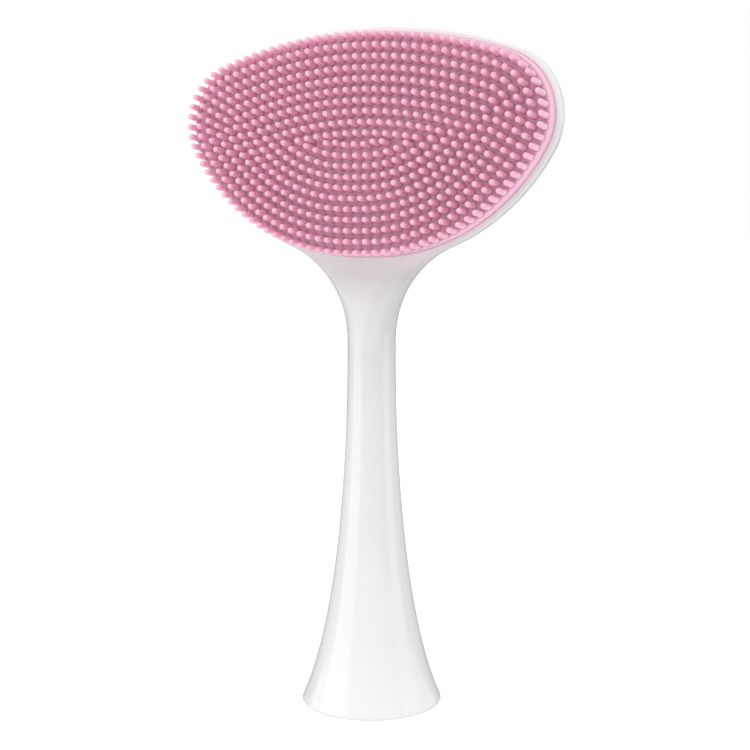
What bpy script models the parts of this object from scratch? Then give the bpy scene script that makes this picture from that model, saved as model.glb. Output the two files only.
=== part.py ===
# Push-on facial cleansing brush head: a white moulded stem with a wide tray, a pink silicone bristle pad
# on a screwed carrier, and the drive core that grips the shaft of an electric handle.
# Frame: origin at the centre of the base rim, +Z up the stem, the bristles face -Y. Sizes in millimetres.
import math

import bmesh
import bpy
import numpy as np
from mathutils import Matrix, Vector

MM = 0.001

# Head outline, seen from the front: a chain of tangent arcs, top, corner, side and bottom.
HEAD_TOP = 80.05
TOP_RADIUS = 53.5
CORNER_X = 15.4
CORNER_RADIUS = 8.05
SIDE_RADIUS = 24.6
HEAD_BOTTOM = 52.85
BOTTOM_RADIUS = 60.0
# Stem, a turned shape: base, neck and the concave fillet that runs out to the head's side arc.
BASE_RADIUS = 8.5
NECK_RADIUS = 2.86
NECK_Z = 41.5
FLARE_HANDLES = ((12.4, 2.8), (40.0, NECK_RADIUS))
FILLET_RADIUS = 12.1
# Depths along Y in the head, measured from the stem's axis; minus is the bristle side.
RIM_Y = -0.9
RIM_ROUND = 0.25
BACK_EDGE_Y = -0.6
BACK_ROUND = (1.6, 2.4)
BACK_DOME = (1.9, 2.0)
HEAD_MIDDLE = (0.0, 66.6)
HEAD_HALF = (23.4, 13.8)
# Heights over which the round stem turns into the plate, on each side, and its depth where it has.
FRONT_BLEND = (42.0, 53.5)
BACK_BLEND = (46.0, 66.0)
STEM_DEPTH_IN_HEAD = 3.3
# Heights of the shell's lines, as first, last and count: the base, the stem and the fillet. Then the
# plate, where the lines bulge until the last one is the top edge between the corners.
BASE_LEVELS = (0.0, 12.0, 7)
STEM_LEVELS = (15.0, 42.0, 8)
FILLET_LEVELS = (43.5, 56.0, 13)
PLATE_LEVELS = 18
COLUMNS = 20
CORNER_TURN = math.radians(30)
# Insets from the head outline.
LIP_INSET = 0.45
PAD_INSET = 0.75
POCKET_INSET = 1.35
CARRIER_INSET = 1.65
DEEP_INSET = 6.0
DEEP_STEPS = (3, 5, 6, 6)
NUB_INSET = 1.02
# Depths of the tray's steps.
LEDGE_Y = 0.1
POCKET_Y = 1.0
DEEP_Y = 1.8
# Bristle pad and carrier.
TIP_Y = -4.7
PAD_FACE_Y = -2.7
PAD_BACK_Y = -0.9
SKIRT_END_Y = -0.2
PAD_ROUND = 0.15
TIP_ROUND = 0.3
CARRIER_FRONT_Y = -0.6
CARRIER_BACK_Y = 0.7
CARRIER_CHAMFER = 0.15
# Carrier screws, M1.4 self-tapping, heads sunk in the carrier.
SCREW_PLACES = ((-10.0, 61.5), (10.0, 61.5), (-10.0, 72.5), (10.0, 72.5))
BOSS = (1.9, 4.0)
BOSS_HOLE = (0.75, 2.1)
COUNTERBORE = (1.4, 0.1)
CLEARANCE_RADIUS = 0.85
SCREW_HEAD = (1.2, -0.5, 0.0)
SCREW_HEAD_ROUND = 0.15
SCREW_SHANK = (0.6, 1.95)
SCREW_POINT = (0.1, 0.4)
RECESS = (1.3, 0.32, 0.28)
# Socket and bores inside the stem.
SKIRT_WALL = 1.2
CAVITY_TOP = 20.5
CAVITY_LEVELS = (0.0, 2.5, 4.6, 7.5, 10.0, 12.5, 15.0, 17.5, CAVITY_TOP)
CAVITY_FLARE = 0.35
NECK_BORE = (1.45, 45.0)
FIT_GAP = 0.3
# Retaining ring that closes the cavity.
RING_Z = (4.6, 5.9)
RING_HOLE = 2.9
RING_CHAMFER = 0.3
# Drive core.
CORE_BOTTOM = 6.2
CORE_FLANGE_TOP = 7.4
CORE_BODY_RADIUS = 3.3
CORE_BODY_LEVELS = (7.4, 12.0, 14.0, 16.0, 18.0)
CORE_TOP = 20.2
TAIL = (1.15, 44.0)
TAIL_CHAMFER = (0.3, 0.4)
BORE_RADIUS = 2.0
BORE_FLAT_Y = -1.5
BORE_TOP = 16.5
FIN_LEVELS = (7.0, 9.5, 12.0, 15.0)
FIN_ROOT = 2.6
FIN_THICKNESS = 0.9
GROOVE_Z = (18.0, 19.3)
GROOVE_RADIUS = 1.6
SEAL_RADII = (2.22, 0.42)
# Leaf spring beside the bore, and the slot it bends in.
LEAF_WIDTH = 2.2
LEAF_THICKNESS = 0.25
LEAF_PATH = (
    (3.0, 6.75),
    (1.95, 6.75),
    (1.85, 7.1),
    (1.85, 10.4),
    (1.32, 12.2),
    (1.85, 14.0),
    (1.95, 14.8),
)
LEAF_HINGE = (1.9, 6.9)
SLOT_HALF_WIDTH = 1.35
SLOT_Y = (1.2, 2.75)
SLOT_TOP = 15.3
FOOT_SLOT_Y = 3.4
FOOT_SLOT_TOP = 7.15

ROUND_STEPS = 40
OUTLINE_STEPS = (5, 8, 12, 9)


def unit(x, z):
    length = math.hypot(x, z)
    return x / length, z / length


def arc_centres():
    """Centres of the outline's arcs and of the fillet, each found from its neighbours by tangency."""
    top = (0.0, HEAD_TOP - TOP_RADIUS)
    corner = (CORNER_X, top[1] + math.sqrt((TOP_RADIUS - CORNER_RADIUS) ** 2 - CORNER_X**2))
    bottom = (0.0, HEAD_BOTTOM + BOTTOM_RADIUS)
    to_corner = SIDE_RADIUS - CORNER_RADIUS
    to_bottom = BOTTOM_RADIUS - SIDE_RADIUS
    apart = math.hypot(bottom[0] - corner[0], bottom[1] - corner[1])
    along = (to_corner**2 - to_bottom**2 + apart**2) / (2 * apart)
    across = math.sqrt(to_corner**2 - along**2)
    ux, uz = unit(bottom[0] - corner[0], bottom[1] - corner[1])
    side = (corner[0] + along * ux - across * uz, corner[1] + along * uz + across * ux)
    fillet_x = NECK_RADIUS + FILLET_RADIUS
    reach = math.sqrt((SIDE_RADIUS + FILLET_RADIUS) ** 2 - (fillet_x - side[0]) ** 2)
    fillet = (fillet_x, side[1] - reach)
    return top, corner, side, bottom, fillet


TOP_C, CORNER_C, SIDE_C, BOTTOM_C, FILLET_C = arc_centres()


def angle_from(centre, point):
    return math.atan2(point[1] - centre[1], point[0] - centre[0])


def toward(centre, radius, other):
    """The point where this arc touches its neighbour, on the line of centres."""
    ux, uz = unit(other[0] - centre[0], other[1] - centre[1])
    return centre[0] + radius * ux, centre[1] + radius * uz


TOP_TANGENT = toward(TOP_C, TOP_RADIUS, CORNER_C)
CORNER_TANGENT = toward(SIDE_C, SIDE_RADIUS, CORNER_C)
BOTTOM_TANGENT = toward(BOTTOM_C, BOTTOM_RADIUS, SIDE_C)
FILLET_TANGENT = toward(SIDE_C, SIDE_RADIUS, FILLET_C)


def head_outline(inset, steps=OUTLINE_STEPS):
    """The closed outline, inset by this much, as (x, z) points from the bottom up the right side."""
    spans = (
        (BOTTOM_C, BOTTOM_RADIUS, (0.0, HEAD_BOTTOM), BOTTOM_TANGENT, steps[0]),
        (SIDE_C, SIDE_RADIUS, BOTTOM_TANGENT, CORNER_TANGENT, steps[1]),
        (CORNER_C, CORNER_RADIUS, CORNER_TANGENT, TOP_TANGENT, steps[2]),
        (TOP_C, TOP_RADIUS, TOP_TANGENT, (0.0, HEAD_TOP), steps[3]),
    )
    right = []
    for centre, radius, start, end, count in spans:
        first = angle_from(centre, start)
        turn = angle_from(centre, end) - first
        reach = radius - inset
        for step in range(count):
            angle = first + turn * step / count
            right.append((centre[0] + reach * math.cos(angle), centre[1] + reach * math.sin(angle)))
    top_point = (0.0, HEAD_TOP - inset)
    left = [(-x, z) for x, z in reversed(right[1:])]
    return right + [top_point] + left


def stem_curve(count=80):
    """Heights and radii along the stem's flare, one cubic Bezier from the base rim to the neck."""
    points = [(0.0, BASE_RADIUS), FLARE_HANDLES[0], FLARE_HANDLES[1], (NECK_Z, NECK_RADIUS)]
    t = np.linspace(0, 1, count)[:, None]
    weights = ((1 - t) ** 3, 3 * t * (1 - t) ** 2, 3 * t**2 * (1 - t), t**3)
    curve = sum(weight * np.array(point) for weight, point in zip(weights, points))
    return curve[:, 0], curve[:, 1]


STEM_Z, STEM_R = stem_curve()


def stem_radius(z):
    return float(np.interp(z, STEM_Z, STEM_R))


def half_width(z):
    """Half the shell's width at this height, from the base up to the head's corner."""
    if z <= FILLET_C[1]:
        return stem_radius(z)
    if z <= FILLET_TANGENT[1]:
        return FILLET_C[0] - math.sqrt(FILLET_RADIUS**2 - (z - FILLET_C[1]) ** 2)
    if z <= CORNER_TANGENT[1]:
        return SIDE_C[0] + math.sqrt(SIDE_RADIUS**2 - (z - SIDE_C[1]) ** 2)
    return CORNER_C[0] + math.sqrt(CORNER_RADIUS**2 - (z - CORNER_C[1]) ** 2)


def top_height(x):
    """Height of the head's top edge this far from the middle."""
    if abs(x) <= TOP_TANGENT[0]:
        return TOP_C[1] + math.sqrt(TOP_RADIUS**2 - x * x)
    return CORNER_C[1] + math.sqrt(CORNER_RADIUS**2 - (abs(x) - CORNER_C[0]) ** 2)


# Where the last of the shell's lines ends, on the corner's arc.
PATCH_CORNER = (
    CORNER_C[0] + CORNER_RADIUS * math.cos(CORNER_TURN),
    CORNER_C[1] + CORNER_RADIUS * math.sin(CORNER_TURN),
)


def full_outline():
    """The right half of the whole front view, stem and head, as dense points for measuring distance."""
    points = [(half_width(z), z) for z in np.linspace(0, FILLET_TANGENT[1], 150)]
    head = head_outline(0, (20, 40, 50, 60))
    points += [point for point in head if point[0] > 0 and point[1] > FILLET_TANGENT[1]]
    points.append((0.0, HEAD_TOP))
    return np.array(points)


EDGE = full_outline()


def edge_distance(x, z):
    """Distance from a point inside the front view to its edge."""
    point = np.array((abs(x), z))
    start = EDGE[:-1]
    run = EDGE[1:] - start
    share = np.clip(((point - start) * run).sum(1) / (run**2).sum(1), 0, 1)
    return float(np.hypot(*(point - start - share[:, None] * run).T).min())


def rounding(distance, reach):
    """0 at the edge, 1 from reach inwards, along a quarter ellipse."""
    share = min(distance / reach, 1.0)
    return math.sqrt(max(0.0, 1 - (1 - share) ** 2))


def smooth_step(value, low, high):
    share = min(max((value - low) / (high - low), 0.0), 1.0)
    return share * share * (3 - 2 * share)


def shell_depths(x, z, width):
    """Front and back Y of the shell at a point of its front view: a round stem, then a domed plate."""
    front_blend = smooth_step(z, *FRONT_BLEND)
    back_blend = smooth_step(z, *BACK_BLEND)
    roundness = math.sqrt(max(0.0, 1 - (x / width) ** 2))
    near_stem = stem_radius(z) * roundness
    if front_blend == 0:
        return -near_stem, near_stem
    far_stem = near_stem + (STEM_DEPTH_IN_HEAD - NECK_RADIUS) * back_blend * roundness
    distance = edge_distance(x, z)
    off_middle = (x / HEAD_HALF[0]) ** 2 + ((z - HEAD_MIDDLE[1]) / HEAD_HALF[1]) ** 2
    front = RIM_Y + RIM_ROUND * (1 - rounding(distance, RIM_ROUND))
    dome = BACK_DOME[0] * math.exp(-BACK_DOME[1] * off_middle)
    back = BACK_EDGE_Y + BACK_ROUND[1] * rounding(distance, BACK_ROUND[0]) + dome
    near = front_blend * front - (1 - front_blend) * near_stem
    far = back_blend * back + (1 - back_blend) * far_stem
    return near, far


def shell_levels():
    """Heights at the shell's edge, each with how far its line bulges up towards the head's top edge."""
    level = np.concatenate([np.linspace(*run) for run in (BASE_LEVELS, STEM_LEVELS, FILLET_LEVELS)])
    start = level[-1]
    shares = np.sin(np.linspace(0, math.pi / 2, PLATE_LEVELS + 1)[1:])
    over_plate = [(start + (PATCH_CORNER[1] - start) * share, share * share) for share in shares]
    return [(z, 0.0) for z in level] + over_plate


def shell_loop(edge_z, bulge):
    """One closed loop round the shell, as its front and back lines, each from left to right."""
    width = half_width(edge_z)
    front = []
    back = []
    for column in range(COLUMNS + 1):
        across = math.sin(math.pi * (column / COLUMNS - 0.5))
        rise = top_height(PATCH_CORNER[0] * across) - PATCH_CORNER[1]
        x = width * across
        z = edge_z + rise * bulge
        near, far = shell_depths(x, z, width)
        front.append((x, near, z))
        back.append((x, far, z))
    return front, back


def material(name, colour, roughness, metallic=0.0):
    made = bpy.data.materials.new(name)
    made.use_nodes = True
    shader = made.node_tree.nodes["Principled BSDF"]
    shader.inputs["Base Color"].default_value = (*colour, 1)
    shader.inputs["Roughness"].default_value = roughness
    shader.inputs["Metallic"].default_value = metallic
    made.diffuse_color = (*colour, 1)
    return made


def add_object(name, mesh_builder, finish=None, origin=(0.0, 0.0, 0.0), sharp=35):
    """Turns a bmesh in millimetres into an object with this origin. With no finish it is a cutter."""
    offset = Vector(origin)
    bmesh.ops.translate(mesh_builder, verts=mesh_builder.verts, vec=-offset)
    bmesh.ops.scale(mesh_builder, verts=mesh_builder.verts, vec=(MM, MM, MM))
    bmesh.ops.recalc_face_normals(mesh_builder, faces=mesh_builder.faces)
    mesh = bpy.data.meshes.new(name)
    mesh_builder.to_mesh(mesh)
    mesh_builder.free()
    made = bpy.data.objects.new(name, mesh)
    made.location = offset * MM
    bpy.context.scene.collection.objects.link(made)
    if finish is None:
        made.hide_render = True
        made.display_type = "WIRE"
    else:
        mesh.materials.append(finish)
        mesh.shade_smooth()
        mesh.set_sharp_from_angle(angle=math.radians(sharp))
    return made


def carve(target, tool, operation="DIFFERENCE"):
    modifier = target.modifiers.new(tool.name, "BOOLEAN")
    modifier.operation = operation
    modifier.solver = "EXACT"
    modifier.object = tool


def loft(loops):
    """A closed solid through loops of equal length, capped at both ends."""
    made = bmesh.new()
    rings = [[made.verts.new(point) for point in loop] for loop in loops]
    for lower, upper in zip(rings, rings[1:]):
        for index in range(len(lower)):
            after = (index + 1) % len(lower)
            made.faces.new((lower[index], lower[after], upper[after], upper[index]))
    made.faces.new(rings[0])
    made.faces.new(list(reversed(rings[-1])))
    return made


def outline_loft(stations, steps=OUTLINE_STEPS):
    """A solid through copies of the head outline, each station an (inset, y) pair."""
    return loft([[(x, y, z) for x, z in head_outline(inset, steps)] for inset, y in stations])


def spun(profile, steps=ROUND_STEPS, closed=False):
    """A bmesh turned about Z from (radius, height) points. Closed, the last point joins the first."""
    made = bmesh.new()
    points = [made.verts.new((radius, 0, height)) for radius, height in profile]
    pairs = list(zip(points, points[1:]))
    if closed:
        pairs.append((points[-1], points[0]))
    shape = points + [made.edges.new(pair) for pair in pairs]
    bmesh.ops.spin(made, geom=shape, axis=(0, 0, 1), cent=(0, 0, 0), angle=2 * math.pi, steps=steps)
    bmesh.ops.remove_doubles(made, verts=made.verts, dist=1e-4)
    return made


def turned(profile, axis="Z", centre=(0.0, 0.0, 0.0), steps=ROUND_STEPS):
    """A solid turned from (radius, height) points that start and end on the axis."""
    made = spun(profile, steps)
    if axis == "Y":
        # The profile's heights run along +Y instead.
        bmesh.ops.rotate(made, verts=made.verts, matrix=Matrix.Rotation(-math.pi / 2, 3, "X"))
    bmesh.ops.translate(made, verts=made.verts, vec=centre)
    return made


def block(low, high):
    made = bmesh.new()
    bmesh.ops.create_cube(made, size=1)
    size = [b - a for a, b in zip(low, high)]
    bmesh.ops.scale(made, verts=made.verts, vec=size)
    bmesh.ops.translate(made, verts=made.verts, vec=[(a + b) / 2 for a, b in zip(low, high)])
    return made


def plate(points, low, high, axis):
    """A flat outline pulled from low to high along X or Z. Points are (y, z) for X and (x, y) for Z."""
    if axis == "X":
        return loft([[(level, *point) for point in points] for level in (low, high)])
    return loft([[(*point, level) for point in points] for level in (low, high)])


def cavity_radius(z):
    return stem_radius(z) - SKIRT_WALL


def build_shell(white):
    made = bmesh.new()
    rings = []
    for edge_z, bulge in shell_levels():
        front, back = shell_loop(edge_z, bulge)
        shared = math.isclose(front[0][1], back[0][1], abs_tol=1e-6)
        front_verts = [made.verts.new(point) for point in front]
        back_verts = [made.verts.new(point) for point in back]
        if shared:
            for end in (0, -1):
                made.verts.remove(back_verts[end])
                back_verts[end] = front_verts[end]
        rings.append((front_verts, back_verts))

    def skin(*corners):
        distinct = list(dict.fromkeys(corners))
        if len(distinct) > 2:
            made.faces.new(distinct)

    for (front, back), (next_front, next_back) in zip(rings, rings[1:]):
        for side, next_side in ((front, next_front), (back, next_back)):
            for a, b, c, d in zip(side, side[1:], next_side[1:], next_side):
                skin(a, b, c, d)
        for end in (0, -1):
            skin(front[end], back[end], next_back[end], next_front[end])
    for front, back in (rings[0], rings[-1]):
        for a, b, c, d in zip(front, front[1:], back[1:], back):
            skin(a, b, c, d)
    shell = add_object("head_shell", made, white, sharp=40)

    tray = outline_loft(((LIP_INSET, -6.0), (LIP_INSET, LEDGE_Y)))
    carve(shell, add_object("cut_tray", tray))
    pocket = outline_loft(((POCKET_INSET, -6.2), (POCKET_INSET, POCKET_Y)))
    carve(shell, add_object("cut_pocket", pocket))
    hollow = outline_loft(((DEEP_INSET, -6.4), (DEEP_INSET, DEEP_Y)), DEEP_STEPS)
    deep = add_object("cut_deep_pocket", hollow)
    wide, end = BOSS
    radius, depth = BOSS_HOLE
    for number, (x, z) in enumerate(SCREW_PLACES, 1):
        island = turned(((0, POCKET_Y), (wide, POCKET_Y), (wide, end), (0, end)), "Y", (x, 0, z), 20)
        carve(deep, add_object(f"keep_boss_{number}", island))
        hole = turned(((0, 0), (radius, 0), (radius, depth), (0, depth)), "Y", (x, 0, z), 16)
        carve(shell, add_object(f"cut_screw_hole_{number}", hole))
    carve(shell, deep)

    rise = [(cavity_radius(z), z) for z in CAVITY_LEVELS]
    bore_radius, bore_top = NECK_BORE
    below = [(0, -1), (rise[0][0] + CAVITY_FLARE, -1)]
    bore = [(bore_radius, CAVITY_TOP), (bore_radius, bore_top), (0, bore_top)]
    profile = below + rise + bore
    carve(shell, add_object("cut_cavity", turned(profile)))
    return shell


def build_pad(pink):
    stations = (
        (NUB_INSET + TIP_ROUND, TIP_Y),
        (NUB_INSET, TIP_Y + TIP_ROUND),
        (NUB_INSET, PAD_FACE_Y),
        (PAD_INSET + PAD_ROUND, PAD_FACE_Y),
        (PAD_INSET, PAD_FACE_Y + PAD_ROUND),
        (PAD_INSET, SKIRT_END_Y),
        (POCKET_INSET, SKIRT_END_Y),
        (POCKET_INSET, PAD_BACK_Y),
    )
    return add_object("bristle_pad", outline_loft(stations), pink, (0, PAD_BACK_Y, HEAD_MIDDLE[1]))


def build_carrier(finish):
    edge = CARRIER_INSET
    inner = CARRIER_INSET + CARRIER_CHAMFER
    stations = (
        (inner, CARRIER_FRONT_Y),
        (edge, CARRIER_FRONT_Y + CARRIER_CHAMFER),
        (edge, CARRIER_BACK_Y - CARRIER_CHAMFER),
        (inner, CARRIER_BACK_Y),
    )
    carrier = add_object("pad_carrier", outline_loft(stations), finish)
    head_radius, floor = COUNTERBORE
    profile = (
        (0, -1),
        (head_radius, -1),
        (head_radius, floor),
        (CLEARANCE_RADIUS, floor),
        (CLEARANCE_RADIUS, 1),
        (0, 1),
    )
    for number, (x, z) in enumerate(SCREW_PLACES, 1):
        carve(carrier, add_object(f"cut_counterbore_{number}", turned(profile, "Y", (x, 0, z), 20)))
    return carrier


def build_screws(steel):
    """Four screws that share one mesh, each with a cross recess in its head."""
    head_radius, head_front, head_back = SCREW_HEAD
    shank_radius, tip = SCREW_SHANK
    point_radius, point_length = SCREW_POINT
    profile = (
        (0, head_front),
        (head_radius - SCREW_HEAD_ROUND, head_front),
        (head_radius, head_front + SCREW_HEAD_ROUND),
        (head_radius, head_back),
        (shank_radius, head_back),
        (shank_radius, tip - point_length),
        (point_radius, tip),
        (0, tip),
    )
    long, wide, deep = RECESS
    arms = []
    for number, (half_x, half_z) in enumerate(((long / 2, wide / 2), (wide / 2, long / 2)), 1):
        arm = block((-half_x, head_front - 1, -half_z), (half_x, head_front + deep, half_z))
        arms.append(add_object(f"cut_recess_{number}", arm))
    for number, (x, z) in enumerate(SCREW_PLACES, 1):
        screw = add_object(f"carrier_screw_{number}", turned(profile, "Y", steps=20), steel)
        screw.location = Vector((x, 0, z)) * MM
        for arm in arms:
            # Each screw has its own copy of the driver's cross, at its own place.
            copy = bpy.data.objects.new(f"{arm.name}_{number}", arm.data)
            copy.location = screw.location
            copy.hide_render = True
            copy.display_type = "WIRE"
            bpy.context.scene.collection.objects.link(copy)
            carve(screw, copy)


def core_outside(z):
    return cavity_radius(z) - FIT_GAP


def build_core(finish):
    body = [(min(CORE_BODY_RADIUS, core_outside(z)), z) for z in CORE_BODY_LEVELS]
    tail_radius, tail_top = TAIL
    tail_round, tail_cone = TAIL_CHAMFER
    profile = [
        (0, CORE_BOTTOM),
        (core_outside(CORE_BOTTOM), CORE_BOTTOM),
        (core_outside(CORE_FLANGE_TOP), CORE_FLANGE_TOP),
        *body,
        (GROOVE_RADIUS, GROOVE_Z[0]),
        (GROOVE_RADIUS, GROOVE_Z[1]),
        (core_outside(GROOVE_Z[1]), GROOVE_Z[1]),
        (core_outside(CORE_TOP), CORE_TOP),
        (tail_radius, CORE_TOP),
        (tail_radius, tail_top - tail_cone),
        (tail_radius - tail_round, tail_top),
        (0, tail_top),
    ]
    core = add_object("drive_core", turned(profile), finish)

    # Four fins centre the core in the cavity. They start inside the flange and the body, and join both.
    fin_outline = [(core_outside(z), z) for z in FIN_LEVELS]
    fin_outline += [(FIN_ROOT, FIN_LEVELS[-1]), (FIN_ROOT, FIN_LEVELS[0])]
    fins = bmesh.new()
    for quarter in range(4):
        fin = plate(fin_outline, -FIN_THICKNESS / 2, FIN_THICKNESS / 2, "X")
        turn = Matrix.Rotation(math.radians(45 + 90 * quarter), 3, "Z")
        bmesh.ops.rotate(fin, verts=fin.verts, matrix=turn)
        piece = bpy.data.meshes.new("fin")
        fin.to_mesh(piece)
        fin.free()
        fins.from_mesh(piece)
        bpy.data.meshes.remove(piece)
    carve(core, add_object("join_fins", fins), "UNION")

    # The bore is round with one flat, which stops the shaft turning.
    side = math.acos(BORE_FLAT_Y / BORE_RADIUS)
    bore = [(BORE_RADIUS * math.sin(a), BORE_RADIUS * math.cos(a)) for a in np.linspace(-side, side, 29)]
    carve(core, add_object("cut_bore", plate(bore, CORE_BOTTOM - 1, BORE_TOP, "Z")))
    half = SLOT_HALF_WIDTH
    slot = block((-half, SLOT_Y[0], CORE_BOTTOM - 1.2), (half, SLOT_Y[1], SLOT_TOP))
    carve(core, add_object("cut_slot", slot))
    foot = block((-half, SLOT_Y[0], CORE_BOTTOM - 1.4), (half, FOOT_SLOT_Y, FOOT_SLOT_TOP))
    carve(core, add_object("cut_foot_slot", foot))
    return core


def build_seal(finish):
    major, minor = SEAL_RADII
    middle = (GROOVE_Z[0] + GROOVE_Z[1]) / 2
    circle = [2 * math.pi * step / 12 for step in range(12)]
    profile = [(major + minor * math.cos(a), middle + minor * math.sin(a)) for a in circle]
    return add_object("core_seal", spun(profile, closed=True), finish)


def build_ring(finish):
    low, high = RING_Z
    profile = (
        (RING_HOLE + RING_CHAMFER, low),
        (cavity_radius(low) - FIT_GAP, low),
        (cavity_radius(high) - FIT_GAP, high),
        (RING_HOLE, high),
        (RING_HOLE, low + RING_CHAMFER),
    )
    return add_object("retaining_ring", spun(profile, closed=True), finish)


def build_leaf(steel):
    """A bent strip: its centre line thickened to both sides, its foot hooked under the core's flange."""
    path = [Vector(point) for point in LEAF_PATH]
    inner = []
    outer = []
    for index, point in enumerate(path):
        before = path[max(index - 1, 0)]
        after = path[min(index + 1, len(path) - 1)]
        run = (after - before).normalized()
        normal = Vector((-run.y, run.x)) * LEAF_THICKNESS / 2
        inner.append(tuple(point + normal))
        outer.append(tuple(point - normal))
    strip = plate(inner + outer[::-1], -LEAF_WIDTH / 2, LEAF_WIDTH / 2, "X")
    return add_object("shaft_spring", strip, steel, (0, *LEAF_HINGE))


def main():
    for existing in list(bpy.data.objects):
        bpy.data.objects.remove(existing)
    white = material("gloss_white_abs", (0.86, 0.87, 0.87), 0.12)
    natural = material("natural_acetal", (0.78, 0.78, 0.74), 0.4)
    frosted = material("white_polycarbonate", (0.80, 0.81, 0.82), 0.3)
    pink = material("pink_silicone", (0.83, 0.42, 0.55), 0.45)
    seal_black = material("black_nitrile", (0.03, 0.03, 0.03), 0.6)
    steel = material("stainless_steel", (0.62, 0.62, 0.62), 0.28, 1.0)
    build_shell(white)
    build_pad(pink)
    build_carrier(frosted)
    build_screws(steel)
    build_core(natural)
    build_seal(seal_black)
    build_ring(frosted)
    build_leaf(steel)


main()
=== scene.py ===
# The looks of a push-on facial cleansing brush head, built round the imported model.
# Sizes are in millimetres: +Z runs up the stem from the base rim, and the bristles point towards -Y.
import math

import bmesh
import bpy
import numpy as np
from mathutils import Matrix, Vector


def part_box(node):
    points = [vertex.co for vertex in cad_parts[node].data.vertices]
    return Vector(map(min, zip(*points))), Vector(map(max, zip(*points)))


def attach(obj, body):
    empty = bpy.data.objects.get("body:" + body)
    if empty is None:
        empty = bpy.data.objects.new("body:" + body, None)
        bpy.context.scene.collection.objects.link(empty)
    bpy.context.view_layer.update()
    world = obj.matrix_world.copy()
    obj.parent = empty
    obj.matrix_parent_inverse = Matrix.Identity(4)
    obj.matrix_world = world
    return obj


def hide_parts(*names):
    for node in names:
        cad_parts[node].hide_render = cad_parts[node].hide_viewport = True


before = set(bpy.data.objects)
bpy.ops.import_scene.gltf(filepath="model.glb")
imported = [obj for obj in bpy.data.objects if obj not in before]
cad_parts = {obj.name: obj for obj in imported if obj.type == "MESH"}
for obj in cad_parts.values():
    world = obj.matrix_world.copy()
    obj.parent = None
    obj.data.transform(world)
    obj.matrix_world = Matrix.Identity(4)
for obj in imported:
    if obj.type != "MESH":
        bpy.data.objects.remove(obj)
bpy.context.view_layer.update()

mm = 0.001
scene = bpy.context.scene


def boxOf(node):
    low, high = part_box(node)
    return low / mm, high / mm


shellHigh = boxOf("head_shell")[1]
padLow, padHigh = boxOf("bristle_pad")
print("frame loaded:", len(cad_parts), "nodes")


camera = dict(
    lens=65.39,
    sensor=36.0,
    azimuth=25.842,     # degrees round from straight in front
    apart=161.35,       # level distance from the stem's axis
    height=56.42,
    heading=25.698,     # where it looks, degrees, a little less than its azimuth
    downward=5.984,
)


def addCamera():
    data = bpy.data.cameras.new("camera")
    data.lens = camera["lens"]
    data.sensor_width = camera["sensor"]
    data.clip_start = 0.01
    data.clip_end = 20
    made = bpy.data.objects.new("camera", data)
    turn = math.radians(camera["azimuth"])
    away = camera["apart"]
    made.location = Vector((away * math.sin(turn), -away * math.cos(turn), camera["height"])) * mm
    made.rotation_euler = (math.radians(90 - camera["downward"]), 0, math.radians(camera["heading"]))
    scene.collection.objects.link(made)
    scene.camera = made
    print("camera set")


addCamera()


class Wire:
    # one output socket; sums on wires add Math nodes
    def __init__(self, finish, socket):
        self.finish = finish
        self.socket = socket

    def maths(self, operation, *values):
        return self.finish.node("Math", dict(operation=operation), dict(enumerate(values)))

    def __add__(self, other):
        return self.maths("ADD", self, other)

    def __radd__(self, other):
        return self.maths("ADD", other, self)

    def __sub__(self, other):
        return self.maths("SUBTRACT", self, other)

    def __rsub__(self, other):
        return self.maths("SUBTRACT", other, self)

    def __mul__(self, other):
        return self.maths("MULTIPLY", self, other)

    def __rmul__(self, other):
        return self.maths("MULTIPLY", other, self)

    def __truediv__(self, other):
        return self.maths("DIVIDE", self, other)

    def __rtruediv__(self, other):
        return self.maths("DIVIDE", other, self)

    def __abs__(self):
        return self.maths("ABSOLUTE", self)


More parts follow.
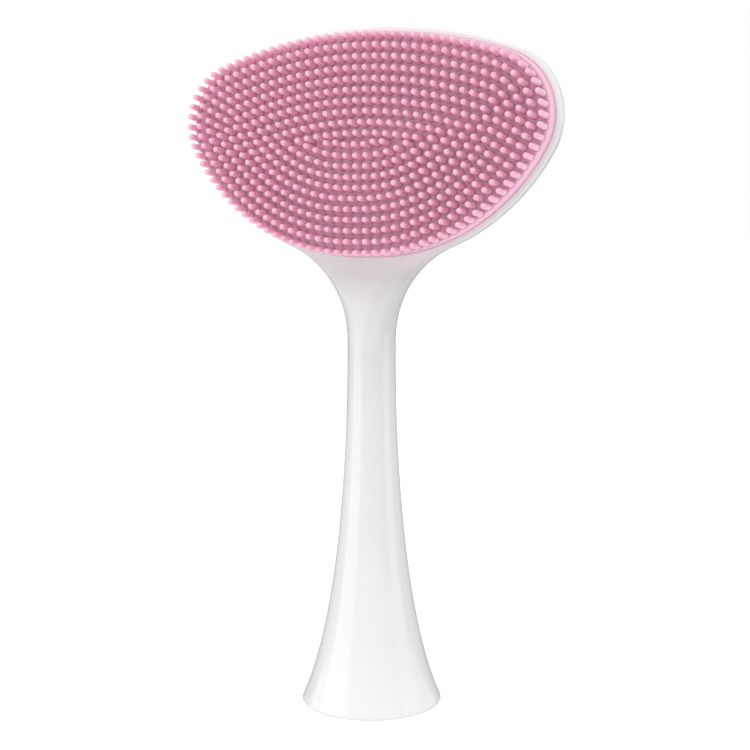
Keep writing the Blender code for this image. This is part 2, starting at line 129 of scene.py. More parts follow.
class Finish:
    # one material; plain values go straight onto the shader's own sockets
    def __init__(self, name, **plain):
        self.made = bpy.data.materials.new(name)
        self.made.use_nodes = True
        self.tree = self.made.node_tree
        self.shader = self.tree.nodes["Principled BSDF"]
        for socket, value in plain.items():
            self.put(self.shader.inputs[socket.replace("_", " ")], value)
        self.place = self.node("TexCoord", {}, {}, "Object")
        self.y = self.node("SeparateXYZ", {}, {0: self.place}, "Y")
        self.z = self.node("SeparateXYZ", {}, {0: self.place}, "Z")

    def put(self, socket, value):
        if isinstance(value, Wire):
            self.tree.links.new(value.socket, socket)
        elif hasattr(value, "__len__") and len(value) == 3 and socket.type == "RGBA":
            socket.default_value = (*value, 1)
        else:
            socket.default_value = value

    def node(self, kind, settings, sockets, out=0):
        made = self.tree.nodes.new("ShaderNode" + kind)
        for name, value in settings.items():
            if name == "stops":
                self.setStops(made.color_ramp, value)
            else:
                setattr(made, name, value)
        for socket, value in sockets.items():
            self.put(made.inputs[socket], value)
        return Wire(self, made.outputs[out])

    def setStops(self, ramp, stops):
        while len(ramp.elements) < len(stops):
            ramp.elements.new(0.5)
        for element, (position, colour) in zip(ramp.elements, stops):
            element.position = position
            element.color = (*colour, 1)

    def noise(self, perMm, detail, stretch=(1, 1, 1)):
        # soft noise, 0 to 1, with this many features to the millimetre
        place = self.node("VectorMath", dict(operation="MULTIPLY"), {0: self.place, 1: stretch})
        return self.node("TexNoise", {}, dict(Vector=place, Scale=perMm / mm, Detail=detail), "Fac")

    def ramp(self, value, stops):
        return self.node("ValToRGB", dict(stops=stops), {0: value})

    def mixed(self, a, b, share):
        # colours a and b; a Mix node has its colour sockets after the ones for numbers and vectors
        return self.node("Mix", dict(data_type="RGBA"), {0: share, 6: a, 7: b}, 2)

    def between(self, value, low, high):
        # 0 at low, 1 at high, held beyond them
        sockets = {0: value, 1: low, 2: high, 3: 0.0, 4: 1.0}
        return self.node("MapRange", dict(interpolation_type="SMOOTHSTEP"), sockets)

    def bumped(self, height, depth, strength):
        # depth in millimetres
        return self.node("Bump", {}, dict(Height=height, Distance=depth * mm, Strength=strength))

    def use(self, **sockets):
        for socket, value in sockets.items():
            self.put(self.shader.inputs[socket.replace("_", " ")], value)
        return self.made


whiteGloss = dict(
    coat=0.5,
    coatRough=0.04,
    # painted shade and light by height: the base colour at these shares of the height; the thin neck under the head
    # is painted greyer than the base and the head, a painted shade for the head's shade, and the base by the floor is
    # painted lighter
    paintedShadeByHeight=(
        (0.0, (0.765, 0.765, 0.765)),
        (0.10, (0.725, 0.725, 0.725)),
        (0.22, (0.71, 0.71, 0.71)),
        (0.42, (0.69, 0.69, 0.69)),
        (0.50, (0.65, 0.65, 0.65)),
        (0.57, (0.60, 0.60, 0.60)),
        (0.64, (0.53, 0.52, 0.52)),
        (0.70, (0.69, 0.69, 0.69)),
        (1.0, (0.76, 0.76, 0.76)),
    ),
    patches=0.10,       # how much paler its cloudy patches are
    rough=0.085,
)


def glossWhite():
    w = whiteGloss
    look = Finish("gloss_white_abs", IOR=1.5, Coat_Weight=w["coat"], Coat_Roughness=w["coatRough"])
    cloud = look.noise(0.09, 3)
    fine = look.noise(2.2, 2)
    # painted shade: the colour darkens towards the neck under the head and lightens by the floor
    along = look.ramp(look.z / (outline["top"] * mm), w["paintedShadeByHeight"])
    colour = look.mixed(along, (1, 1, 1), w["patches"] * cloud)
    rough = w["rough"] + 0.05 * cloud + 0.03 * fine
    normal = look.bumped(look.noise(0.55, 1), 0.002, 0.25)
    return look.use(Base_Color=colour, Roughness=rough, Normal=normal)


silicone = dict(
    # each colour runs from the first to the second in cloudy patches; the sheet is painted darker, a painted shade
    # between the bristles, and the shafts are painted lighter than the tips, a painted light on them
    sheet=((0.62, 0.31, 0.43), (0.67, 0.345, 0.465)),
    shaft=((0.88, 0.49, 0.635), (0.925, 0.53, 0.675)),
    tip=((0.765, 0.44, 0.55), (0.805, 0.475, 0.585)),
    paintedShadeFade=0.4,          # the sheet's painted shade is gone this far from its face
    tipFade=(1.0, 0.15),    # the tip's colour starts and is full this far from the tip
    rough=0.27,
    under=0.4,              # how much light goes under the surface, and how far in metres
    underReach=0.001,
    underColours=(1.0, 0.45, 0.55),
)


def pinkSilicone():
    p = silicone
    look = Finish("pink_silicone", IOR=1.41, Subsurface_Weight=p["under"], Subsurface_Scale=p["underReach"],
                  Subsurface_Radius=p["underColours"])
    cloud = look.noise(0.35, 3)
    grain = look.noise(9.0, 2)
    sheet, shaft, tip = (look.mixed(*p[part], cloud) for part in ("sheet", "shaft", "tip"))
    # painted shade on the sheet between the bristles, giving way to the painted light on the shafts
    shadeToLight = look.between(abs(look.y - bristle["sheetY"] * mm), 0.0, p["paintedShadeFade"] * mm)
    atTip = look.between(look.y, *((bristle["tipY"] + fade) * mm for fade in p["tipFade"]))
    colour = look.mixed(look.mixed(sheet, shaft, shadeToLight), tip, atTip)
    rough = p["rough"] + 0.10 * cloud + 0.05 * grain
    return look.use(Base_Color=colour, Roughness=rough, Normal=look.bumped(grain, 0.01, 0.35))


hiddenFinishes = dict(
    polycarbonate=((0.74, 0.75, 0.76), (0.84, 0.845, 0.85)),
    acetal=((0.71, 0.70, 0.64), (0.80, 0.79, 0.74)),
    nitrile=((0.018, 0.018, 0.019), (0.045, 0.044, 0.043)),
    steel=((0.52, 0.515, 0.50), (0.68, 0.675, 0.665)),
)


def frostedPolycarbonate():
    look = Finish("white_polycarbonate", IOR=1.58, Subsurface_Weight=0.2, Subsurface_Scale=0.001)
    colour = look.mixed(*hiddenFinishes["polycarbonate"], look.noise(0.2, 3))
    texture = look.noise(6.0, 3)
    return look.use(Base_Color=colour, Roughness=0.26 + 0.16 * texture, Normal=look.bumped(texture, 0.006, 0.5))


def naturalAcetal():
    look = Finish("natural_acetal", IOR=1.48, Subsurface_Weight=0.2, Subsurface_Scale=0.001)
    colour = look.mixed(*hiddenFinishes["acetal"], look.noise(0.3, 3))
    texture = look.noise(7.0, 2)
    return look.use(Base_Color=colour, Roughness=0.32 + 0.16 * texture, Normal=look.bumped(texture, 0.006, 0.4))


def blackNitrile():
    look = Finish("black_nitrile", IOR=1.52)
    cloud = look.noise(1.5, 3)
    colour = look.mixed(*hiddenFinishes["nitrile"], cloud)
    normal = look.bumped(look.noise(14.0, 2), 0.008, 0.6)
    return look.use(Base_Color=colour, Roughness=0.45 + 0.25 * cloud, Normal=normal)


def stainlessSteel():
    look = Finish("stainless_steel", Metallic=1.0)
    colour = look.mixed(*hiddenFinishes["steel"], look.noise(0.8, 3))
    brushed = look.noise(3.0, 3, (0.4, 9.0, 0.4))
    return look.use(Base_Color=colour, Roughness=0.2 + 0.18 * brushed, Normal=look.bumped(brushed, 0.003, 0.4))


def addPiece(name, vertices, faces, finish=None, sharp=35.0):
    # a cutting tool has no finish
    mesh = bpy.data.meshes.new(name)
    mesh.from_pydata([tuple(v) for v in np.asarray(vertices, float) * mm], [], faces)
    mesh.validate()
    made = bpy.data.objects.new(name, mesh)
    scene.collection.objects.link(made)
    faceOut(mesh)
    if finish is not None:
        mesh.materials.append(finish)
        smooth(mesh, sharp)
    return made


def faceOut(mesh):
    work = bmesh.new()
    work.from_mesh(mesh)
    bmesh.ops.recalc_face_normals(work, faces=work.faces)
    work.to_mesh(mesh)
    work.free()


def smooth(mesh, sharp):
    mesh.shade_smooth()
    mesh.set_sharp_from_angle(angle=math.radians(sharp))


def joined(parts):
    # several (vertices, faces) as one
    vertices = []
    faces = []
    for points, polygons in parts:
        faces += [[index + len(vertices) for index in polygon] for polygon in polygons]
        vertices += [tuple(point) for point in points]
    return vertices, faces


def throughLoops(loops, capped=True, closed=False):
    # a skin through loops of equal length; closed joins the last loop to the first
    count = len(loops[0])
    vertices = [tuple(point) for loop in loops for point in loop]
    pairs = list(zip(range(len(loops) - 1), range(1, len(loops))))
    if closed:
        pairs.append((len(loops) - 1, 0))
    around = [(i, (i + 1) % count) for i in range(count)]
    faces = [(low * count + i, low * count + j, high * count + j, high * count + i)
             for low, high in pairs for i, j in around]
    if capped and not closed:
        faces.append(tuple(range(count)))
        faces.append(tuple((len(loops) - 1) * count + i for i in reversed(range(count))))
    return vertices, faces


nearAxis = 0.01     # a turned profile that isn't a ring starts and ends this close to its axis


def turned(profile, steps, axis="Z", centre=(0, 0, 0), closed=False):
    # turned from (radius, height) points; closed for a ring, otherwise capped at its first and last point
    angles = [2 * math.pi * step / steps for step in range(steps)]
    loops = []
    for radius, height in profile:
        if axis == "Z":
            loop = [(radius * math.cos(a), radius * math.sin(a), height) for a in angles]
        else:
            loop = [(radius * math.cos(a), height, radius * math.sin(a)) for a in angles]
        loops.append([tuple(p + c for p, c in zip(point, centre)) for point in loop])
    return throughLoops(loops, not closed, closed)


def carve(target, tool):
    # cuts the tool out of the target at once, and throws it away
    modifier = target.modifiers.new("carve", "BOOLEAN")
    modifier.operation = "DIFFERENCE"
    modifier.solver = "EXACT"
    modifier.object = tool
    graph = bpy.context.evaluated_depsgraph_get()
    cut = bpy.data.meshes.new_from_object(target.evaluated_get(graph))
    target.modifiers.remove(modifier)
    target.data = cut
    bpy.data.objects.remove(tool)


# seen from the front, the head is a chain of arcs that run smoothly into each other
outline = dict(
    top=shellHigh.z,
    topRadius=53.5,
    cornerX=15.4,
    cornerRadius=8.05,
    sideRadius=24.6,
    bottom=52.85,
    bottomRadius=60.0,
    neckRadius=2.86,
    filletRadius=12.1,
    steps=(14, 34, 44, 34),     # points along the bottom, side, corner and top
)


farOff = 1e3
tiny = 1e-6


class Arc:
    # part of a circle in the XZ plane, from one angle to another
    def __init__(self, centre, radius, start, end):
        self.centre = centre
        self.radius = radius
        self.start = self.angle(*start)
        self.end = self.angle(*end)

    def angle(self, x, z):
        return math.atan2(z - self.centre[1], x - self.centre[0])

    def points(self, inset, count):
        angles = np.linspace(self.start, self.end, count)
        reach = self.radius - inset
        return np.stack((self.centre[0] + reach * np.cos(angles), self.centre[1] + reach * np.sin(angles)), 1)

    def distance(self, x, z):
        # farOff where the nearest point of the circle lies outside the arc
        angles = np.arctan2(z - self.centre[1], x - self.centre[0])
        low, high = sorted((self.start, self.end))
        apart = np.abs(np.hypot(x - self.centre[0], z - self.centre[1]) - self.radius)
        return np.where((angles >= low - tiny) & (angles <= high + tiny), apart, farOff)


def meeting(centre, radius, other):
    # where a circle touches its neighbour, on the line of centres
    run = np.subtract(other, centre)
    return tuple(np.add(centre, radius * run / np.linalg.norm(run)))


def outlineArcs():
    o = outline
    top = (0.0, o["top"] - o["topRadius"])
    cornerRise = math.sqrt((o["topRadius"] - o["cornerRadius"]) ** 2 - o["cornerX"] ** 2)
    corner = (o["cornerX"], top[1] + cornerRise)
    bottom = (0.0, o["bottom"] + o["bottomRadius"])
    toCorner = o["sideRadius"] - o["cornerRadius"]
    toBottom = o["bottomRadius"] - o["sideRadius"]
    apart = math.dist(bottom, corner)
    along = (toCorner**2 - toBottom**2 + apart**2) / (2 * apart)
    across = math.sqrt(toCorner**2 - along**2)
    ux, uz = np.subtract(bottom, corner) / apart
    side = (corner[0] + along * ux - across * uz, corner[1] + along * uz + across * ux)
    filletX = o["neckRadius"] + o["filletRadius"]
    reach = math.sqrt((o["sideRadius"] + o["filletRadius"]) ** 2 - (filletX - side[0]) ** 2)
    fillet = (filletX, side[1] - reach)
    topEnd = meeting(top, o["topRadius"], corner)
    cornerEnd = meeting(side, o["sideRadius"], corner)
    bottomEnd = meeting(bottom, o["bottomRadius"], side)
    filletEnd = meeting(side, o["sideRadius"], fillet)
    return dict(
        bottom=Arc(bottom, o["bottomRadius"], (0, o["bottom"]), bottomEnd),
        side=Arc(side, o["sideRadius"], bottomEnd, cornerEnd),
        shownSide=Arc(side, o["sideRadius"], filletEnd, cornerEnd),
        corner=Arc(corner, o["cornerRadius"], cornerEnd, topEnd),
        top=Arc(top, o["topRadius"], topEnd, (0, o["top"])),
        fillet=Arc(fillet, o["filletRadius"], filletEnd, (o["neckRadius"], fillet[1])),
    )


arcs = outlineArcs()
headArcs = [arcs[name] for name in ("bottom", "side", "corner", "top")]
edgeArcs = [arcs[name] for name in ("fillet", "shownSide", "corner", "top")]


def nearest(chain, x, z):
    found = np.full(np.shape(x), farOff)
    for arc in chain:
        found = np.minimum(found, arc.distance(np.abs(x), z))
    return found


def headLoop(inset):
    # the closed outline, inset by this much, from the bottom up the right side and down the left
    right = np.concatenate([arc.points(inset, count)[:-1] for arc, count in zip(headArcs, outline["steps"])])
    left = right[1:][::-1] * (-1, 1)
    return np.concatenate((right, [(0.0, outline["top"] - inset)], left))


def headLoft(stations):
    # a closed form through outlines at these insets and depths
    return throughLoops([[(x, y, z) for x, z in headLoop(inset)] for inset, y in stations])


def quarter(steps):
    # angles from 0 to a right angle
    return [math.pi / 2 * step / steps for step in range(steps + 1)]


# one moulding: a turned stem, a concave fillet and a domed plate with a tray in its front
shell = dict(
    baseRadius=shellHigh.y,
    neckZ=41.5,
    flare=((12.4, 2.8), (40.0, outline["neckRadius"])),
    baseRound=0.3,
    rimY=-0.9,
    rimRound=0.25,
    backEdgeY=-0.6,
    backRound=(1.6, 2.4),
    dome=(1.9, 2.0),
    middle=(0.0, 66.6),
    half=(23.4, 13.8),
    frontBlend=(42.0, 53.5),
    backBlend=(46.0, 66.0),
    stemDepth=3.3,
    stemRows=((0.7, 12, 14), (12.8, 42, 34), (42.4, 56.0, 46)),     # from, to and how many
    topRows=56,
    cornerTurn=30.0,    # where on its corners the rows start to bulge into the top
    columns=96,
    lip=0.66,
    lipRound=0.08,
    ledgeY=0.1,
    pocket=(1.35, 1.0),
    deepPocket=(6.0, 1.8),
    screwPlaces=((-10.0, 61.5), (10.0, 61.5), (-10.0, 72.5), (10.0, 72.5)),
    bossRadius=1.9,
    bossHole=0.75,
    wall=1.2,
    cavityTop=20.5,
    neckBore=(1.45, 45.0),
)


def stemCurve():
    # heights and radii along the flare, one cubic Bezier from the base rim to the neck
    points = [(0.0, shell["baseRadius"]), *shell["flare"], (shell["neckZ"], outline["neckRadius"])]
    t = np.linspace(0, 1, 400)[:, None]
    weights = ((1 - t) ** 3, 3 * t * (1 - t) ** 2, 3 * t**2 * (1 - t), t**3)
    curve = sum(weight * np.array(point) for weight, point in zip(weights, points))
    return curve[:, 0], curve[:, 1]


stemZ, stemR = stemCurve()


def stemRadius(z):
    return np.interp(z, stemZ, stemR)


def halfWidth(z):
    fillet, side, corner = arcs["fillet"], arcs["shownSide"], arcs["corner"]
    filletTop = side.centre[1] + side.radius * math.sin(side.start)
    sideTop = side.centre[1] + side.radius * math.sin(side.end)
    if z <= fillet.centre[1]:
        edge = shell["baseRound"]
        cut = edge - math.sqrt(edge**2 - (edge - z) ** 2) if z < edge else 0.0
        return float(stemRadius(z)) - cut
    if z <= filletTop:
        return fillet.centre[0] - math.sqrt(fillet.radius**2 - (z - fillet.centre[1]) ** 2)
    if z <= sideTop:
        return side.centre[0] + math.sqrt(side.radius**2 - (z - side.centre[1]) ** 2)
    return corner.centre[0] + math.sqrt(corner.radius**2 - (z - corner.centre[1]) ** 2)


def topHeight(x):
    top, corner = arcs["top"], arcs["corner"]
    middle = top.centre[1] + np.sqrt(top.radius**2 - x * x)
    beyond = np.clip(np.abs(x) - corner.centre[0], -corner.radius, corner.radius)
    end = corner.centre[1] + np.sqrt(corner.radius**2 - beyond**2)
    topEnd = top.centre[0] + top.radius * math.cos(top.start)
    return np.where(np.abs(x) <= topEnd, middle, end)


def smoothStep(value, low, high):
    share = np.clip((value - low) / (high - low), 0, 1)
    return share * share * (3 - 2 * share)


def roundOff(distance, reach):
    # 0 at the edge, 1 from reach inwards, along a quarter ellipse
    share = np.clip(distance / reach, 0, 1)
    return np.sqrt(1 - (1 - share) ** 2)


def shellDepths(x, z, width):
    # front and back Y: round in the stem, a domed plate in the head
    s = shell
    near = smoothStep(z, *s["frontBlend"])
    far = smoothStep(z, *s["backBlend"])
    roundness = np.sqrt(np.clip(1 - (x / width) ** 2, 0, 1))
    stem = np.where(z < arcs["fillet"].centre[1], width, stemRadius(z)) * roundness
    stemBack = stem + (s["stemDepth"] - outline["neckRadius"]) * far * roundness
    distance = nearest(edgeArcs, x, z)
    middleX, middleZ = s["middle"]
    halfX, halfZ = s["half"]
    offMiddle = ((x - middleX) / halfX) ** 2 + ((z - middleZ) / halfZ) ** 2
    front = s["rimY"] + s["rimRound"] * (1 - roundOff(distance, s["rimRound"]))
    reach, depth = s["backRound"]
    high, fall = s["dome"]
    back = s["backEdgeY"] + depth * roundOff(distance, reach) + high * np.exp(-fall * offMiddle)
    return near * front - (1 - near) * stem, far * back + (1 - far) * stemBack


def shellSkin():
    s = shell
    turn = math.radians(s["cornerTurn"])
    corner = arcs["corner"]
    patchX = corner.centre[0] + corner.radius * math.cos(turn)
    patchZ = corner.centre[1] + corner.radius * math.sin(turn)
    foot = [s["baseRound"] * (1 - math.cos(a)) for a in quarter(5)]
    # each row has a height at its two ends and how much it bulges upwards between them
    levels = [(z, 0.0) for z in np.concatenate((foot, *(np.linspace(*row) for row in s["stemRows"])))]
    plateZ = levels[-1][0]
    levels += [(plateZ + (patchZ - plateZ) * math.sin(a), math.sin(a) ** 2) for a in quarter(s["topRows"])[1:]]
    across = np.sin(math.pi * (np.arange(s["columns"] + 1) / s["columns"] - 0.5))
    rise = topHeight(patchX * across) - patchZ
    loops = []
    for edgeZ, bulge in levels:
        width = halfWidth(edgeZ)
        x = width * across
        z = edgeZ + rise * bulge
        near, far = shellDepths(x, z, width)
        front = np.stack((x, near, z), 1)
        back = np.stack((x, far, z), 1)[::-1]
        loops.append(np.concatenate((front, back)))
    vertices, faces = throughLoops(loops, capped=False)
    # both ends close in a strip of faces from the front line to the back one
    count = len(loops[0])
    for first in (0, len(vertices) - count):
        ends = [(first + i, first + count - 1 - i) for i in range(s["columns"] + 1)]
        faces += [(a, c, d, b) for (a, b), (c, d) in zip(ends, ends[1:])]
    return vertices, faces


def trayCutter():
    s = shell
    inFront, behind = -6.0, 4.0     # where the cutters start and end, clear of the shell
    curve = s["lipRound"]
    flare = [(s["lip"] - curve * (1 - math.cos(a)), s["rimY"] + curve * (1 - math.sin(a)))
             for a in quarter(6)[5:0:-1]]
    floorY = s["pocket"][1]
    stations = [(flare[0][0], inFront), *flare, (s["lip"], s["rimY"] + curve)]
    stations += [(s["lip"], s["ledgeY"]), (s["pocket"][0], s["ledgeY"]), s["pocket"]]
    stations += [(s["deepPocket"][0], floorY), s["deepPocket"]]
    tool = addPiece("tray_cutter", *headLoft(stations))
    # the four bosses and their screw holes stand up from the floor
    hole, outside = s["bossHole"], s["bossRadius"]
    for x, z in s["screwPlaces"]:
        island = [(hole, floorY), (outside, floorY), (outside, behind), (hole, behind)]
        carve(tool, addPiece("boss", *turned(island, 32, "Y", (x, 0, z), True)))
    return tool


def cavityRadius(z):
    return float(stemRadius(z)) - shell["wall"]


def cavityCutter():
    boreRadius, boreTop = shell["neckBore"]
    # its mouth has a small chamfer
    profile = [(nearAxis, -1), (cavityRadius(0) + 1.0, -1), (cavityRadius(0) + 0.25, -0.05), (cavityRadius(0.2), 0.2)]
    profile += [(cavityRadius(z), z) for z in np.linspace(1, shell["cavityTop"], 20)]
    profile += [(boreRadius, shell["cavityTop"]), (boreRadius, boreTop), (nearAxis, boreTop)]
    return addPiece("cavity_cutter", *turned(profile, 96))


def buildShell(finish):
    made = addPiece("brush_shell", *shellSkin(), finish)
    # front and back lines touch at the edge of the stem
    work = bmesh.new()
    work.from_mesh(made.data)
    bmesh.ops.remove_doubles(work, verts=work.verts, dist=1e-4 * mm)
    work.to_mesh(made.data)
    work.free()
    carve(made, trayCutter())
    carve(made, cavityCutter())
    smooth(made.data, 32)
    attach(made, "head")
    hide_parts("head_shell")
    print("shell:", len(made.data.polygons), "faces")


# one silicone moulding: a sheet with a skirt, and rings of short soft bristles
bristle = dict(
    tipY=padLow.y,
    sheetY=-2.7,
    backY=-0.9,
    skirtY=padHigh.y,
    edge=0.74,          # inset of the sheet's edge from the shell's outline
    edgeRound=0.5,
    foot=0.12,          # how far the thin foot spreads over the shell's lip
    footY=-0.925,
    wall=1.35,          # inset of the skirt's inner side
    skirtEdge=(0.12, 0.1),      # chamfers of the skirt's outer and inner edge
    firstRing=1.32,
    outward=(0.12, 0.07, 0.03),   # the outer rings stand this much further out
    pitch=1.2217,
    rings=10,
    # each bristle's radius at these heights over the sheet, up to where its dome starts
    shape=((0.46, 0.0), (0.41, 0.06), (0.38, 0.16), (0.365, 0.4), (0.355, 0.8), (0.345, 1.2)),
    tipRadius=0.34,
    lean=(0.04, 0.28),  # how far tips stand above their roots, at the pad's bottom and its top
    sides=14,
    halfStepTop=(9,),       # rings with no bristle on the middle line, above the centre and below it
    halfStepBottom=(6,),
    # the short row in the middle, in steps of the pitch, across and up
    row=((-3.1, 0.2), (-2.1, 0.2), (-1.15, 0), (-0.15, 0), (0.85, 0), (1.8, 0.2), (2.75, 0.2)),
    rowZ=66.45,
)


def ringRuns(inset):
    # the right half of the outline inset by this much, from the top down, split where an arc shrinks to nothing
    overlap = 0.01
    runs = [[]]
    for arc in headArcs[::-1]:
        if arc.radius <= inset:
            runs.append([])
            continue
        line = arc.points(inset, 600)[::-1]
        x, z = line[:, 0], line[:, 1]
        runs[-1].append(line[(nearest(headArcs, x, z) > inset - overlap) & (x > -tiny)])
    return [np.concatenate(run) for run in runs if len(run)]


def spread(line, pitch, halfStart=False, halfEnd=False):
    # evenly spaced along a line, from end to end or starting and stopping half a step in
    run = np.concatenate(([0], np.cumsum(np.linalg.norm(np.diff(line, axis=0), axis=1))))
    spare = 0.5 * halfStart + 0.5 * halfEnd
    count = max(int(round(run[-1] / pitch - spare)), 1)
    step = run[-1] / (count + spare)
    along = step * (np.arange(count + 1) + 0.5 * halfStart)
    return np.stack((np.interp(along, run, line[:, 0]), np.interp(along, run, line[:, 1])), 1)


def bristlePlaces():
    # x and z of each bristle's tip
    b = bristle
    onMiddle = 0.01     # nearer to the middle line than this, there is one bristle and not a pair
    places = []
    for ring in range(1, b["rings"] + 1):
        outward = b["outward"][ring - 1] if ring <= len(b["outward"]) else 0.0
        runs = ringRuns(b["firstRing"] + (ring - 1) * b["pitch"] - outward)
        right = []
        for number, line in enumerate(runs):
            last = number == len(runs) - 1
            halfStart = number == 0 and ring in b["halfStepTop"]
            halfEnd = last and ring in b["halfStepBottom"]
            spots = spread(line, b["pitch"], halfStart, halfEnd)
            right += list(spots if last else spots[:-1])
        for x, z in right:
            places.append((x, z))
            if x > onMiddle:
                places.append((-x, z))
    places += [(across * b["pitch"], b["rowZ"] + up * b["pitch"]) for across, up in b["row"]]
    return places


def buildBristles():
    b = bristle
    long = b["sheetY"] - b["tipY"]
    tip = b["tipRadius"]
    dome = [(tip * math.cos(a), long - tip + tip * math.sin(a)) for a in quarter(5)[:5]]
    sunk = -0.15        # the root starts a little inside the sheet
    profile = [(b["shape"][0][0], sunk), *b["shape"], *dome]
    angles = np.linspace(0, 2 * math.pi, b["sides"], endpoint=False)
    parts = []
    for x, z in bristlePlaces():
        drop = np.interp(z, (padLow.z, padHigh.z), b["lean"])
        loops = []
        for radius, height in profile:
            y = b["sheetY"] - height
            middle = z - drop * (1 - max(height, 0.0) / long)
            loops.append([(x + radius * math.cos(a), y, middle + radius * math.sin(a)) for a in angles])
        vertices, faces = throughLoops(loops)
        # the dome closes in a point
        faces.pop()
        top = len(vertices)
        last = top - b["sides"]
        vertices.append((x, b["tipY"], z))
        faces += [(last + (i + 1) % b["sides"], last + i, top) for i in range(b["sides"])]
        parts.append((vertices, faces))
    return parts


def buildPad(finish):
    b = bristle
    r = b["edgeRound"]
    edge, foot, wall = b["edge"], b["foot"], b["wall"]
    underFoot = b["footY"] + 0.01
    outer, inner = b["skirtEdge"]
    stations = [(edge + r * (1 - math.sin(a)), b["sheetY"] + r * (1 - math.cos(a))) for a in quarter(7)]
    stations += [(edge - foot * (1 - math.cos(a)), b["footY"] - foot * (1 - math.sin(a))) for a in quarter(5)]
    stations += [(edge - foot, underFoot), (edge, underFoot)]
    stations += [(edge, b["skirtY"] - outer), (edge + outer, b["skirtY"])]
    stations += [(wall - inner, b["skirtY"]), (wall, b["skirtY"] - inner), (wall, b["backY"])]
    parts = buildBristles()
    made = addPiece("silicone_pad", *joined([headLoft(stations), *parts]), finish, 50)
    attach(made, "pad")
    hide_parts("bristle_pad")
    print("pad:", len(parts), "bristles,", len(made.data.polygons), "faces")


# the ring that closes the stem round the shaft
ring = dict(height=(4.6, 5.9), hole=2.9, gap=0.3, edge=0.12, lead=0.3, steps=96)


def buildRing(finish):
    low, high = ring["height"]
    hole, edge, lead = ring["hole"], ring["edge"], ring["lead"]
    outLow = cavityRadius(low) - ring["gap"]
    outHigh = cavityRadius(high) - ring["gap"]
    profile = [(hole + lead, low), (outLow - edge, low)]
    profile += [(outLow - edge * (1 - math.sin(a)), low + edge * (1 - math.cos(a))) for a in quarter(4)[1:]]
    profile += [(outHigh - edge * (1 - math.cos(a)), high - edge * (1 - math.sin(a))) for a in quarter(4)]
    profile += [(hole + edge * (1 - math.sin(a)), high - edge * (1 - math.cos(a))) for a in quarter(4)]
    # the shaft is led in by a rounded mouth
    profile += [(hole + lead * (1 - math.cos(a)), low + lead * (1 - math.sin(a))) for a in quarter(5)[:5]]
    made = addPiece("closing_ring", *turned(profile, ring["steps"], closed=True), finish)
    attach(made, "head")
    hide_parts("retaining_ring")
    print("ring built")


# the seal round the drive core's tail
seal = dict(radius=2.22, section=0.42, z=18.65, around=24, steps=96)


def buildSeal(finish):
    angles = np.linspace(0, 2 * math.pi, seal["around"], endpoint=False)
    section = seal["section"]
    profile = [(seal["radius"] + section * math.cos(a), seal["z"] + section * math.sin(a)) for a in angles]
    made = addPiece("seal_ring", *turned(profile, seal["steps"], closed=True), finish)
    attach(made, "head")
    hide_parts("core_seal")
    print("seal built")


# the four screws that hold the carrier
screw = dict(
    head=(1.2, -0.5, 0.0),      # radius, front and back
    edge=0.2,
    crown=(0.03, 0.02),         # how far the head stands up in its middle, and halfway out
    backEdge=0.03,
    shank=0.56,
    thread=0.6,
    pitch=0.3,
    ridge=(0.45, 0.9),          # where a thread's ridge peaks and ends, as shares of the pitch
    end=1.95,
    point=(0.4, 0.12),          # its length, and the radius of its end
    recess=(1.3, 0.32, 0.28),   # across, width of an arm, depth
    taper=0.8,                  # the arms narrow to this as they go in
)


def screwProfile():
    s = screw
    radius, front, back = s["head"]
    middleUp, halfwayUp = s["crown"]
    edge, shank, pitch = s["edge"], s["shank"], s["pitch"]
    point, pointRadius = s["point"]
    profile = [(nearAxis, front - middleUp), (radius * 0.5, front - halfwayUp)]
    profile += [(radius - edge * (1 - math.sin(a)), front + edge * (1 - math.cos(a))) for a in quarter(5)]
    profile += [(radius, back - s["backEdge"]), (radius - s["backEdge"], back)]
    # the thread is drawn as close ridges
    peak, foot = s["ridge"]
    for turn in range(int((s["end"] - point - back) / pitch)):
        start = back + 0.02 + turn * pitch
        profile += [(shank, start), (s["thread"], start + pitch * peak), (shank, start + pitch * foot)]
    profile += [(shank, s["end"] - point), (pointRadius, s["end"]), (nearAxis, s["end"])]
    return profile


def recessArm(x, z, halfX, halfZ):
    # one arm of the cross in a screw's head
    front = screw["head"][1]
    levels = ((front - 1, 1.0), (front, 1.0), (front + screw["recess"][2], screw["taper"]))
    corners = ((-halfX, -halfZ), (halfX, -halfZ), (halfX, halfZ), (-halfX, halfZ))
    loops = [[(x + cx * scale, y, z + cz * scale) for cx, cz in corners] for y, scale in levels]
    return addPiece("recess", *throughLoops(loops))


def buildScrews(finish):
    longer, shorter = screw["recess"][0] / 2, screw["recess"][1] / 2
    for number, (x, z) in enumerate(shell["screwPlaces"], 1):
        made = addPiece(f"screw_{number}", *turned(screwProfile(), 48, "Y", (x, 0, z)), finish)
        carve(made, recessArm(x, z, longer, shorter))
        carve(made, recessArm(x, z, shorter, longer))
        smooth(made.data, 35)
        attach(made, "head")
        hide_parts(f"carrier_screw_{number}")
    print("screws built")


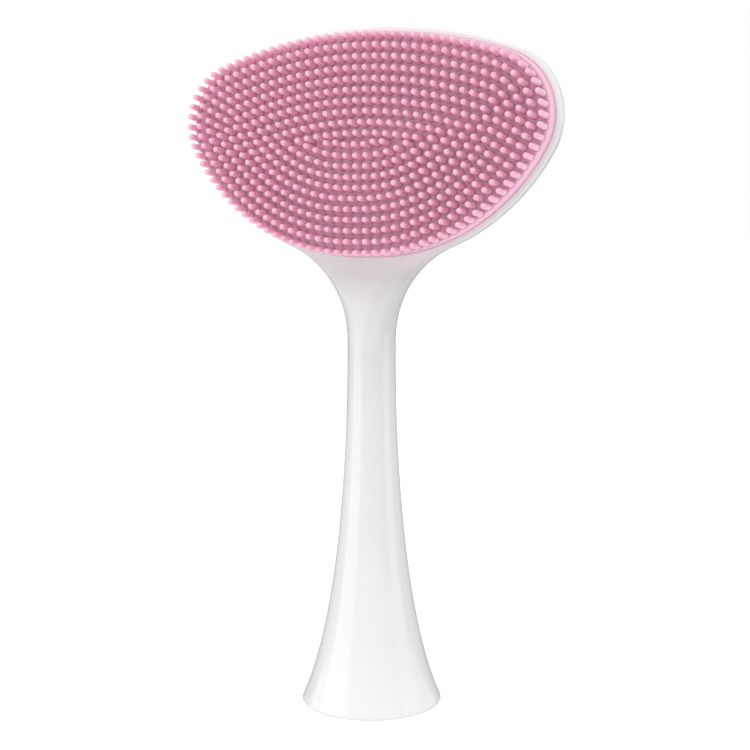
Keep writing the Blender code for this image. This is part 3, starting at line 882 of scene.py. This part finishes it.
studio = dict(
    world=1.0,
    # the floor is a lit table: what it scatters, and its own glow
    floor=(0.35, 0.35, 0.35),
    glow=0.74,
    floorZ=-0.02,
    wide=16000,
    # name, degrees from the camera's heading and above the floor, distance, width, height, watts
    lamps=(
        ("key", 226, 52, 700, 350, 350, 1.25),
    ),
    # panels seen only in reflections: degrees from the heading, height of the middle, distance, width, height, light
    panels=(
        ("panel_left", 251, 100, 500, 450, 1000, 1.75),
        ("panel_right", 105, 100, 500, 300, 1000, 1.35),
        ("behind_stem", -14, -192, 500, 1060, 500, 0.12),
        ("behind_head", -6, 308, 500, 1300, 500, 0.65),
    ),
    # another sheet under the floor, for what the gloss reflects from below
    underLight=0.30,
    underZ=-30,
    middle=45,      # the height that the lamps point at
)


def aim(degrees, above=0.0):
    # a direction seen from the object; 0 looks the way the camera does, positive turns to its right
    turn = math.radians(camera["heading"] - degrees)
    rise = math.radians(above)
    return Vector((-math.sin(turn) * math.cos(rise), math.cos(turn) * math.cos(rise), math.sin(rise)))


def facing(place, target):
    return (Vector(target) - Vector(place)).to_track_quat("-Z", "Y").to_euler()


def addLamp(name, degrees, above, apart, width, height, power):
    middle = Vector((0, 0, studio["middle"]))
    data = bpy.data.lights.new(name, "AREA")
    data.shape = "RECTANGLE"
    data.size = width * mm
    data.size_y = height * mm
    data.energy = power
    made = bpy.data.objects.new(name, data)
    made.location = (middle + aim(degrees, above) * apart) * mm
    made.rotation_euler = facing(made.location, middle * mm)
    made.visible_camera = False
    scene.collection.objects.link(made)


def addPanel(name, degrees, height, apart, width, tall, light):
    place = aim(degrees) * apart + Vector((0, 0, height))
    made = addSheet(name, width, tall, place, (0, 0, height), light)
    onlyReflected(made)


def addSheet(name, width, tall, place, target, light, scatter=(0, 0, 0)):
    # a flat glowing sheet that faces target
    look = Finish(name, Roughness=0.8, Emission_Color=(1, 1, 1), Emission_Strength=light)
    cloud = look.noise(0.004, 2)
    look.use(Base_Color=look.mixed(scatter, tuple(c * 1.03 for c in scatter), cloud))
    x = width / 2 * mm
    y = tall / 2 * mm
    mesh = bpy.data.meshes.new(name)
    mesh.from_pydata([(-x, -y, 0), (x, -y, 0), (x, y, 0), (-x, y, 0)], [], [(0, 1, 2, 3)])
    mesh.materials.append(look.made)
    made = bpy.data.objects.new(name, mesh)
    made.location = Vector(place) * mm
    if target is not None:
        made.rotation_euler = facing(place, target)
    scene.collection.objects.link(made)
    return made


def onlyReflected(made):
    made.visible_camera = False
    made.visible_diffuse = False
    made.visible_shadow = False
    made.visible_transmission = False


def addStudio():
    world = bpy.data.worlds.new("studio")
    scene.world = world
    world.use_nodes = True
    back = world.node_tree.nodes["Background"]
    back.inputs["Color"].default_value = (1, 1, 1, 1)
    back.inputs["Strength"].default_value = studio["world"]
    wide = studio["wide"]
    floor = addSheet("floor", wide, wide, (0, 0, studio["floorZ"]), None, studio["glow"], studio["floor"])
    floor.visible_glossy = False
    onlyReflected(addSheet("under_floor", wide, wide, (0, 0, studio["underZ"]), None, studio["underLight"]))
    for lamp in studio["lamps"]:
        addLamp(*lamp)
    for panel in studio["panels"]:
        addPanel(*panel)
    scene.view_settings.view_transform = "Standard"
    print("studio lit")


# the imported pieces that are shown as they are, with rounded edges of this radius
shownEdges = dict(pad_carrier=0.12, drive_core=0.1, shaft_spring=0.04)


def dress(node, finish):
    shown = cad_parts[node]
    shown.data.materials.clear()
    shown.data.materials.append(finish)
    shown.data.shade_smooth()
    bevel = shown.modifiers.new("edges", "BEVEL")
    bevel.width = shownEdges[node] * mm
    bevel.segments = 3
    bevel.limit_method = "ANGLE"
    bevel.angle_limit = math.radians(32)
    bevel.harden_normals = True
    print(node, "dressed")


polycarbonate = frostedPolycarbonate()
steel = stainlessSteel()
buildShell(glossWhite())
buildPad(pinkSilicone())
buildRing(polycarbonate)
buildSeal(blackNitrile())
buildScrews(steel)
dress("pad_carrier", polycarbonate)
dress("drive_core", naturalAcetal())
dress("shaft_spring", steel)
addStudio()
